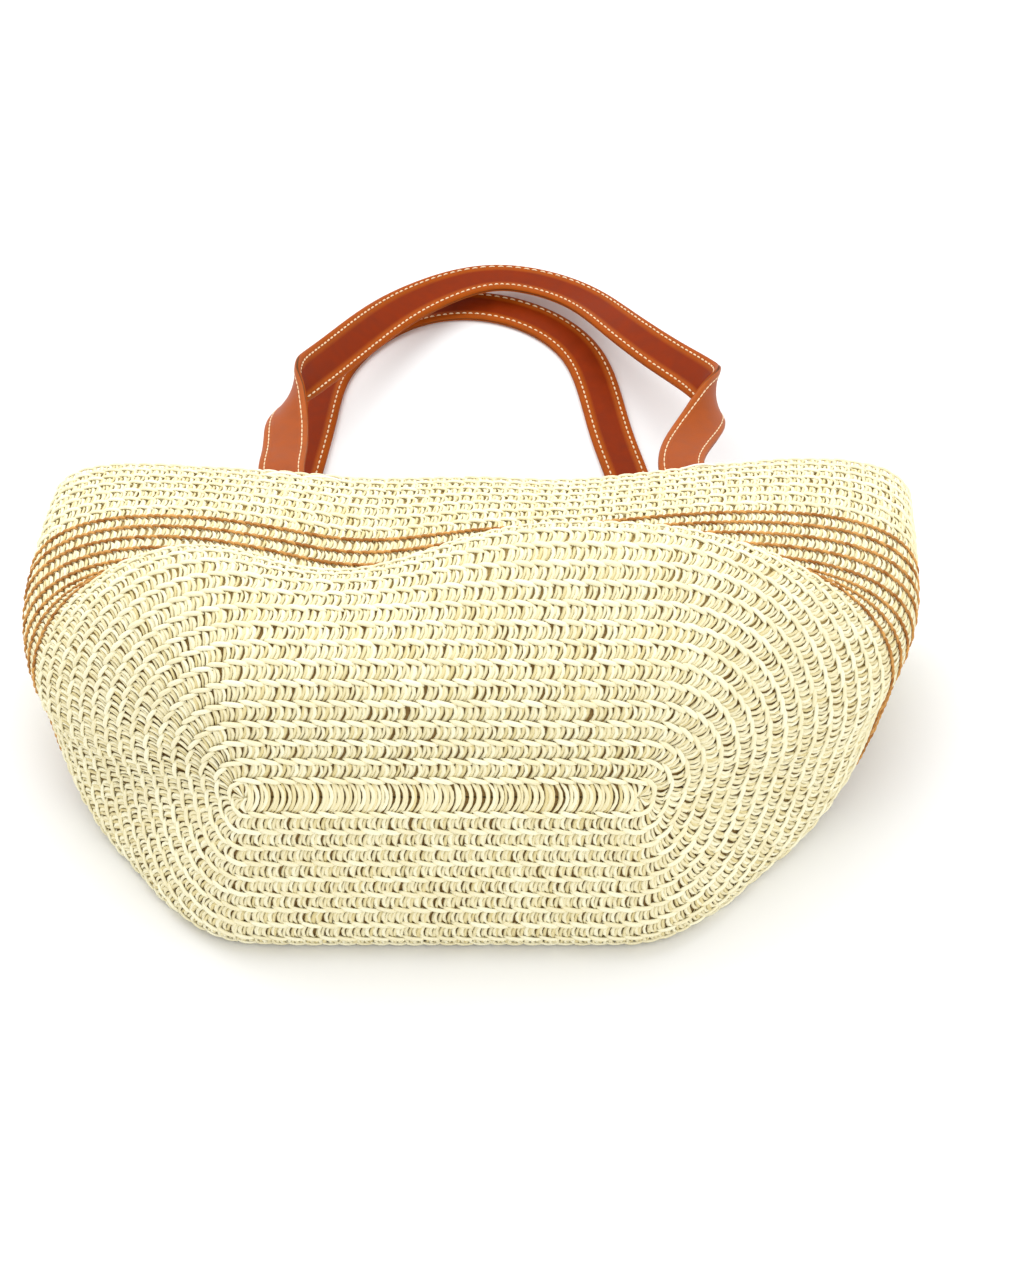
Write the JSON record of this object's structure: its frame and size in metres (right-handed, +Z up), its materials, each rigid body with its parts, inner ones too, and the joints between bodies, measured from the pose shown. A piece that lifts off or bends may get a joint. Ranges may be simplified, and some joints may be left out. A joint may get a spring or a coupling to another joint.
{
  "type": "plaited beach tote bag",
  "caption": "Oval-based tote of plaited paper straw with thin brown-lined rows near the mouth and stitched straps, lying on its back wall with the handles laid out flat.",
  "frame": {"origin": "bottom centre of the bounding box, on the ground under the mouth", "axes": "+Z up from the ground the bag lies on, +Y along the bag from its base to the ends of its handles, +X to the right of someone looking at the base"},
  "size_m": [0.4722, 0.5316, 0.1794],
  "materials": {
    "straw": "matt plaited paper straw",
    "striped_straw": "matt plaited paper straw with a thin brown line on each row",
    "lining": "plain woven cotton",
    "strap_outer_face": "soft satin, orange-brown",
    "strap_inner_face": "soft satin, dark red-brown",
    "strap_filler": "plain webbing",
    "thread": "twisted sewing thread"
  },
  "bodies": {
    "bag": {"centre_strip": "straw", "base_coil": "straw", "lower_wall_coil": "straw", "upper_wall_coil": "straw", "rim_row": "straw", "stripe_row_1": "striped_straw", "stripe_row_2": "striped_straw", "stripe_row_3": "striped_straw", "stripe_row_4": "striped_straw", "stripe_row_5": "striped_straw", "stripe_row_6": "striped_straw", "stripe_row_7": "striped_straw", "stripe_row_8": "striped_straw", "lining_base": "lining", "lining_wall": "lining", "inner_pocket": "lining", "front_thread_bars": "thread", "front_left_tab": "strap_outer_face", "front_right_tab": "strap_outer_face", "back_left_tab": "strap_outer_face", "back_right_tab": "strap_outer_face"},
    "front_handle": {"front_strap_outer": "strap_outer_face", "front_strap_core": "strap_filler", "front_strap_inner": "strap_inner_face"},
    "back_handle": {"back_strap_outer": "strap_outer_face", "back_strap_core": "strap_filler", "back_strap_inner": "strap_inner_face"}
  },
  "joints": [
    {"name": "front_handle_swing", "type": "hinge", "parent": "bag", "child": "front_handle", "pos_m": [0.00036, -0.01477, 0.08955], "axis": [0.9994, 0.023, 0.0253], "range_deg": [0, 90]},
    {"name": "back_handle_swing", "type": "hinge", "parent": "bag", "child": "back_handle", "pos_m": [-0.00714, -0.05437, 0.0069], "axis": [1, 0, 0], "range_deg": [0, 45]}
  ],
  "couplings": [
    {"joint": "back_handle_swing", "follows": "front_handle_swing", "ratio": 0.5}
  ]
}
